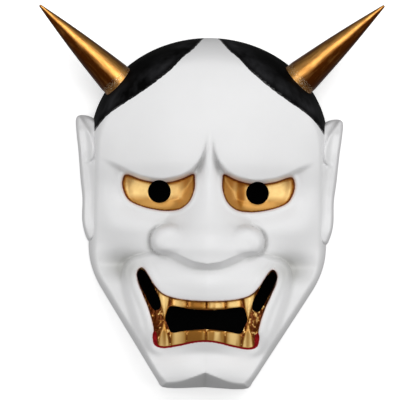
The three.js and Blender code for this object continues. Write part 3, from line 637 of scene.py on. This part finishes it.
def makeHairLacquer():
    # nearly matt at the rim, with a painted grey sheen beside the painted edge, standing in for the
    # lacquer's shine
    material, tree, shader = newMaterial("hairLacquer")
    brushing = noiseAt(tree, 90, 4, 0.55, (1.0, 0.5, 1.0))
    depth = readAttribute(tree, "hairDepth")
    # painted sheen: a lighter grey in a band a few millimetres inside the hairline, broken by the brushing
    band = calc(tree, "MULTIPLY", between(tree, depth, 0.4, 3.5), between(tree, depth, 14.0, 5.0))
    paintedSheen = calc(tree, "MULTIPLY", band, between(tree, brushing, 0.38, 0.74))
    colour = mixColour(tree, paintedSheen, paint["hair"], paint["hairSheen"])
    bump = addNode(tree, "ShaderNodeBump", {"Strength": 0.3, "Distance": 0.0003, "Height": brushing})
    tree.links.new(colour, shader.inputs["Base Color"])
    tree.links.new(between(tree, brushing, 0.3, 0.7, 0.40, 0.55), shader.inputs["Roughness"])
    tree.links.new(bump.outputs[0], shader.inputs["Normal"])
    shader.inputs["Specular IOR Level"].default_value = 0.004
    return material


def makeInsidePaint():
    material, tree, shader = newMaterial("insideBlack")
    grain = noiseAt(tree, 260, 5, 0.6)
    colour = mixColour(tree, between(tree, grain, 0.35, 0.7), paint["inside"], paint["insideWorn"])
    bump = addNode(tree, "ShaderNodeBump", {"Strength": 0.5, "Distance": 0.0004, "Height": grain})
    tree.links.new(colour, shader.inputs["Base Color"])
    tree.links.new(between(tree, grain, 0, 1, 0.75, 0.95), shader.inputs["Roughness"])
    tree.links.new(bump.outputs[0], shader.inputs["Normal"])
    shader.inputs["Specular IOR Level"].default_value = 0.2
    return material


headCorners = [(-68, 66), (68, 66), (29.6, -120.6), (-29.6, -120.6)]
earCorners = [(70, 45), (85.9, 49.4), (76.2, -29.6), (71, -27)]
acrossFace = packedLines(
    [(0, 0.9), (0.1, 1.0), (0.25, 1.15), (0.75, 1.15), (0.9, 1.0), (1, 0.9)], (0.05, 0.05))
downFace = packedLines(
    [(0, 0.7), (0.1, 0.7), (0.28, 0.6), (0.38, 1.1), (0.62, 1.2), (0.86, 1.25), (0.92, 0.9), (1, 0.9)],
    (0.06, 0.04))


def makeHollow():
    loop = insetLoop(headLoop, face["wall"])
    lines = (face["hollowAcross"], face["hollowDown"])
    return carvedBlock("hollow", loop, headCorners, lines, cavityHeight, -30.0, acrossFace, downFace)


def makeShell():
    shell = carvedBlock("maskShell", headLoop, headCorners, (face["linesAcross"], face["linesDown"]),
                        faceHeight, 0.0, acrossFace, downFace)
    earLines = (face["earAcross"], face["earDown"])
    for side in (1, -1):
        loop, corners = flip(earLoop, side), flipCorners(earCorners, side)
        cut(shell, carvedBlock("ear", loop, corners, earLines, earHeight, 0.0), "UNION")
    hollow = makeHollow()
    paintIn, paintOut = makeInsidePaint(), makeShellPaint()
    shell.data.materials.clear()
    shell.data.materials.append(paintOut)
    shell.data.materials.append(paintIn)
    cutters = [hollow, prism("mouthCut", mouthGap, 20, 120)]
    for side in (1, -1):
        cutters.append(prism("cornerCut", flip(cornerGap, side), 10, 120))
        deselectAll()
        bpy.ops.mesh.primitive_cylinder_add(
            vertices=96, radius=face["pupilRadius"] * mm, depth=0.2,
            location=(side * face["pupilX"] * mm + placeX, face["pupilY"] * mm + placeY, 0.12))
        bpy.ops.object.transform_apply(location=True, rotation=True, scale=True)
        cutters.append(bpy.context.object)
    for cutter in cutters:
        cutter.data.materials.clear()
        cutter.data.materials.append(paintOut)
        cutter.data.materials.append(paintIn)
        cutter.data.polygons.foreach_set("material_index", [1] * len(cutter.data.polygons))
        cut(shell, cutter)
    return shell


def paintZones(shell):
    co = meshPoints(shell)
    x, y = (co[:, 0] - placeX) / mm, (co[:, 1] - placeY) / mm
    side = np.abs(x)
    hairCurve = through(hairLine, side)
    hairSide = np.where(y > hairCurve, 1, -1)
    dense = np.linspace(0, 80, 161)
    hairDepth = distanceToLine(np.stack([dense, through(hairLine, dense)], -1), side, y) * hairSide
    onEar = depthInside(earLoop, side, y) > -0.2
    over = faceHeight(x, y) - earHeight(x, y)
    aboveEar = clamp(over / 3) * 6 - clamp(-over) * 2
    storeAttribute(shell, "hairDepth", np.where(onEar, np.minimum(hairDepth, aboveEar), hairDepth))
    lid = depthInside(eyeLoop, side, y)
    lip = depthInside(mouthLoop, x, y)
    storeAttribute(shell, "goldDepth", np.maximum(lid, lip) - 0.1)
    storeAttribute(shell, "mouthZone", ramp(-0.5, 0.5, lip))
    # a red line along the lower lip, widest in its two corners
    corner = hump(side, y, 32.6, -89, 3.2, 4.2)
    redDepth = np.where(lip > 0, 0.9 + 2.4 * corner - lip, lip + 0.35) - 3 * (1 - ramp(-83, -86, y))
    storeAttribute(shell, "redDepth", redDepth)
    height = fullRelief(x, y)
    around = sum(fullRelief(x + r * math.cos(a), y + r * math.sin(a))
                 for r in (2.5, 5.0) for a in np.arange(0, 6.28, math.pi / 3)) / 12
    # painted shade where the surface lies below its surroundings, stronger in the hollow beside the mouth
    cheekHollow = hump(side, y, 51, -45.5, 12.5, 8)
    storeAttribute(shell, "shadeInRecess", 0.5 * clamp((around - height) / 3.0) + 1.1 * cheekHollow)
    # painted shade along the walls under the upper lid, in its crease, and inside the lips
    creaseOn = np.maximum(ramp(2, 8, y), ramp(46, 52, side))
    upperLid = ramp(1.3, 0.5, lid) + 0.6 * ramp(3.2, 0.8, lid) * creaseOn
    wall = clamp(upperLid) * (lid > -1) + ramp(1.6, 0.2, lip) * (lip > -1)
    # painted shade on the lower part of each eye and on its side toward the nose
    lower = np.maximum(0.5 * ramp(2.5, -3.0, y), 0.5 * ramp(21, 14, side))
    # painted shade on the eyeball's slope beside one pupil, and a darker brown on the teeth left of the
    # middle
    lower = np.maximum(lower, 0.8 * hump(x, y, 20.5, 3, 4, 16))
    teeth = toothShare(x, y)
    for loop in fangLoops.values():
        teeth = np.maximum(teeth, clamp(depthInside(loop, side, y) / 1.2))
    # painted shade deep in the mouth, less on the teeth
    deep = 0.7 * clamp((around - height) / 3.0) * (1 - 0.8 * teeth)
    sunk = np.maximum(lower * (lid > 0.2), deep * (lip > 0.3))
    sunk = np.maximum(sunk, 0.74 * clamp(1.3 * hump(x, y, -7.5, -76, 7.5, 60)) * (lip > 0.3))
    gumShade = (lip > -0.5) * 0.95 * (1 - teeth) ** 0.6
    storeAttribute(shell, "goldShade", clamp(np.maximum(np.maximum(wall, gumShade), 0.9 * sunk)))


def lacquerHair(shell):
    # faces well inside the hair get their own lacquer, which shines less at the rim
    hairDepth = np.zeros(len(shell.data.vertices))
    shell.data.attributes["hairDepth"].data.foreach_get("value", hairDepth)
    shell.data.materials.append(makeHairLacquer())
    for facet in shell.data.polygons:
        if facet.material_index == 0 and min(hairDepth[i] for i in facet.vertices) > 0.4:
            facet.material_index = 2


shell = makeShell()
print("shell built", sum(len(p.vertices) - 2 for p in shell.data.polygons), "triangles")
paintZones(shell)
lacquerHair(shell)
smoothShade(shell)
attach(shell, "root")
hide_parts("mask_shell")

# the horns, straight cones that stand in sockets at the head's outline
horns = {
    "rootWidth": 22.4, "tipWidth": 1.8, "taperRun": 68.0, "swell": 0.6, "lean": 9.0, "seatHeight": 25.0,
    "rootReach": 24.0, "seam": 0.3, "sides": 96, "rings": 90,
    "places": {
        "left": {"side": -1, "around": 36.5, "length": 66.0, "rise": 43.2},
        "right": {"side": 1, "around": 39.5, "length": 68.6, "rise": 41.9},
    },
    # hornShade is the colour of the painted shade on the horns
    "bronze": (0.78, 0.39, 0.10), "bronzeDark": (0.30, 0.092, 0.012), "hornShade": (0.085, 0.020, 0.002),
    "wornGold": (0.92, 0.80, 0.55),
}


def hornMatrix(place):
    around, rise, lean = (math.radians(a) for a in (place["around"], place["rise"], horns["lean"]))
    seat = Vector((
        place["side"] * face["halfWidth"] * math.cos(around) * mm + placeX,
        (face["templeY"] + (face["crownY"] - face["templeY"]) * math.sin(around)) * mm + placeY,
        horns["seatHeight"] * mm))
    outwards = math.cos(rise) * math.cos(lean)
    axis = Vector((place["side"] * outwards, math.sin(rise) * math.cos(lean), math.sin(lean)))
    return Matrix.Translation(seat) @ axis.to_track_quat("Z", "Y").to_matrix().to_4x4()


def hornCone(name, place, extra):
    # a sphere whose rings are drawn out into the cone, root first
    deselectAll()
    bpy.ops.mesh.primitive_uv_sphere_add(segments=horns["sides"], ring_count=horns["rings"], radius=1)
    cone = bpy.context.object
    cone.name = cone.data.name = name
    co = meshPoints(cone)
    tip, length = horns["tipWidth"] / 2, place["length"]
    seat = tip + (horns["rootWidth"] / 2 - tip) * length / horns["taperRun"]
    ring = 1 - np.arccos(np.clip(co[:, 2], -1, 1)) / math.pi
    step = ring * horns["rings"]
    share = (step - 3) / (horns["rings"] - 7)
    root = -horns["rootReach"]
    along = np.select([step < 0.5, step < 2.5, step < horns["rings"] - 3.5],
                      [root, root + (step - 1) * 0.6 * abs(root), length * share - tip * share], 0.0)
    last = clamp((step - (horns["rings"] - 4)) / 4)
    along = np.where(last > 0, length - tip + (tip + extra) * np.sin(last * math.pi / 2), along)
    radius = seat + (tip - seat) * clamp(share) + horns["swell"] * np.sin(math.pi * clamp(share))
    radius = np.where(last > 0, tip * np.cos(last * math.pi / 2), radius) + extra * (last < 1)
    radius = np.where((step < 0.5) | (step > horns["rings"] - 0.5), 0, radius)
    flat = np.hypot(co[:, 0], co[:, 1])
    unit = co[:, :2] / np.where(flat < 1e-6, 1, flat)[:, None]
    local = np.column_stack([unit * radius[:, None], along])
    matrix = np.array(hornMatrix(place))
    world = local * mm @ matrix[:3, :3].T + matrix[:3, 3]
    cone.data.vertices.foreach_set("co", world.ravel())
    cone.data.update()
    spots = cone.data.attributes.new("hornSpot", "FLOAT_VECTOR", "POINT")
    spots.data.foreach_set("vector", np.ascontiguousarray(local, dtype=np.float32).ravel())
    # painted shade lies on the lower side and under the horn, and thinly along its upper edge, where the
    # light falls least
    axis = matrix[:3, 2]
    upper = np.cross((0, 0, 1), axis)
    upper = upper / np.linalg.norm(upper) * np.sign(upper[1])
    out = unit @ matrix[:3, :2].T
    rise, front = out @ upper, out[:, 2]
    hornShade = np.maximum(ramp(0.30, -0.22, rise), 0.85 * ramp(0.5, 0.95, rise))
    storeAttribute(cone, "hornShade", np.maximum(hornShade, ramp(0.2, -0.5, front)))
    return cone


def makeHornBronze():
    material, tree, shader = newMaterial("hornBronze")
    spot = addNode(tree, "ShaderNodeAttribute", attribute_name="hornSpot").outputs["Vector"]
    along = addNode(tree, "ShaderNodeSeparateXYZ", {"Vector": spot}).outputs["Z"]
    drawn = addNode(tree, "ShaderNodeMapping", {"Vector": spot, "Scale": (1, 1, 0.16)}).outputs[0]

    def grain(vector, scale, detail, roughness=0.6):
        return addNode(tree, "ShaderNodeTexNoise", {"Vector": vector, "Scale": scale, "Detail": detail,
                                                    "Roughness": roughness}).outputs["Fac"]
    streaks, pits, patches = grain(drawn, 0.42, 5), grain(spot, 1.6, 4), grain(spot, 0.11, 3)
    dark = calc(tree, "MULTIPLY", between(tree, streaks, 0.42, 0.75), 0.55)
    colour = mixColour(tree, dark, horns["bronze"], horns["bronzeDark"])
    colour = mixColour(tree, calc(tree, "MULTIPLY", between(tree, patches, 0.5, 0.75), 0.35), colour,
                       horns["bronzeDark"])
    edge = calc(tree, "MULTIPLY", calc(tree, "SUBTRACT", streaks, 0.5), 0.7)
    # painted shade on the lower side and under the horn, broken by the streaks
    hornShade = between(tree, calc(tree, "ADD", readAttribute(tree, "hornShade"), edge), 0.0, 1.0)
    colour = mixColour(tree, hornShade, colour, horns["hornShade"])
    worn = calc(tree, "MULTIPLY", between(tree, along, 1.0, 0.2), between(tree, pits, 0.56, 0.66))
    tipDark = between(tree, along, 62.5, 66.5)
    colour = mixColour(tree, calc(tree, "MULTIPLY", tipDark, 0.45), colour, horns["bronzeDark"])
    colour = mixColour(tree, worn, colour, horns["wornGold"])
    ripple = calc(tree, "ADD", calc(tree, "MULTIPLY", streaks, 2.2), calc(tree, "MULTIPLY", pits, 0.5))
    bump = addNode(tree, "ShaderNodeBump", {"Strength": 0.3, "Distance": 0.0003, "Height": ripple})
    tree.links.new(colour, shader.inputs["Base Color"])
    tree.links.new(between(tree, pits, 0.25, 0.75, 0.30, 0.44), shader.inputs["Roughness"])
    tree.links.new(bump.outputs[0], shader.inputs["Normal"])
    shader.inputs["Metallic"].default_value = 1.0
    return material


hornBronze = makeHornBronze()
for name, place in horns["places"].items():
    cut(shell, hornCone("socket", place, horns["seam"]))
    horn = hornCone("horn" + name.capitalize(), place, 0.0)
    cut(horn, makeHollow())
    horn.data.materials.clear()
    horn.data.materials.append(hornBronze)
    smoothShade(horn)
    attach(horn, "root")
    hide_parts("horn_" + name)
splitFaces(shell)
print("horns set in their sockets")

# floor, lights and camera
studio = {
    "worldGlow": 0.26, "boxPower": 5.15, "paper": (0.90, 0.90, 0.90), "paperGlow": 0.40,
    # azimuth, elevation, width, height and share of the power
    "boxes": [(72, 60, 1.2, 0.9, 1.5), (90, 80, 1.0, 0.8, 0.7), (270, 50, 1.0, 0.6, 0.12),
              (0, 24, 1.0, 0.8, 1.15), (180, 22, 1.0, 0.8, 1.2)],
    "card": (0.004, 0.004, 0.004), "cardFibre": (0.010, 0.010, 0.010),
}


def makeStudio():
    deselectAll()
    bpy.ops.mesh.primitive_plane_add(size=6, location=(0, 0, -0.0006))
    floor = bpy.context.object
    floor.name = "studioFloor"
    material, tree, shader = newMaterial("paperWhite")
    shader.inputs["Base Color"].default_value = (*studio["paper"], 1)
    shader.inputs["Roughness"].default_value = 0.9
    shader.inputs["Emission Color"].default_value = (1, 1, 1, 1)
    shader.inputs["Emission Strength"].default_value = studio["paperGlow"]
    floor.data.materials.append(material)
    # the paper shows and takes shadows, but throws no light back under the mask
    floor.visible_diffuse = False
    floor.visible_glossy = False
    # black card on the paper under the hollow stands in for the shade inside the mask, so that the openings
    # stay dark
    deselectAll()
    cardLoop = insetLoop(headLoop, 1.6)
    bpy.ops.mesh.primitive_circle_add(vertices=len(cardLoop), fill_type="NGON")
    card = bpy.context.object
    card.name = "shadeCard"
    for vertex, (x, y) in zip(card.data.vertices, cardLoop):
        vertex.co = (x * mm + placeX, y * mm + placeY, -0.0003)
    card.data.materials.append(makeCardBlack())
    world = bpy.data.worlds.new("studio")
    world.use_nodes = True
    world.node_tree.nodes["Background"].inputs["Color"].default_value = (1, 1, 1, 1)
    world.node_tree.nodes["Background"].inputs["Strength"].default_value = studio["worldGlow"]
    bpy.context.scene.world = world
    bpy.context.scene.view_settings.view_transform = "Standard"
    for i, (azimuth, elevation, width, height, share) in enumerate(studio["boxes"]):
        a, e = math.radians(azimuth), math.radians(elevation)
        spot = Vector((math.cos(a) * math.cos(e), math.sin(a) * math.cos(e), math.sin(e))) * 1.3
        bpy.ops.object.light_add(type="AREA", location=spot)
        lamp = bpy.context.object
        lamp.name = f"softbox{i}"
        lamp.data.shape = "RECTANGLE"
        lamp.data.size, lamp.data.size_y = width, height
        lamp.data.energy = studio["boxPower"] * share
        lamp.rotation_euler = (-spot).to_track_quat("-Z", "Y").to_euler()


def makeCardBlack():
    material, tree, shader = newMaterial("cardBlack")
    fibre = noiseAt(tree, 900, 4, 0.6)
    tree.links.new(mixColour(tree, fibre, studio["card"], studio["cardFibre"]), shader.inputs["Base Color"])
    shader.inputs["Roughness"].default_value = 0.95
    shader.inputs["Specular IOR Level"].default_value = 0.1
    return material


def makeCamera():
    view = {"distance": 2.0, "aim": (-5.23, -2.01), "span": 256.0, "level": 16.0, "roll": 1.0}
    bpy.ops.object.camera_add(
        location=(view["aim"][0] * mm + placeX, view["aim"][1] * mm + placeY, view["distance"]))
    camera = bpy.context.object
    camera.name = "photoView"
    camera.rotation_euler = (0, 0, math.radians(view["roll"]))
    camera.data.sensor_width = 36
    camera.data.lens = 36 * (view["distance"] - view["level"] * mm) / (view["span"] * mm)
    camera.data.clip_end = 20
    bpy.context.scene.camera = camera


makeStudio()
makeCamera()
print("studio ready")
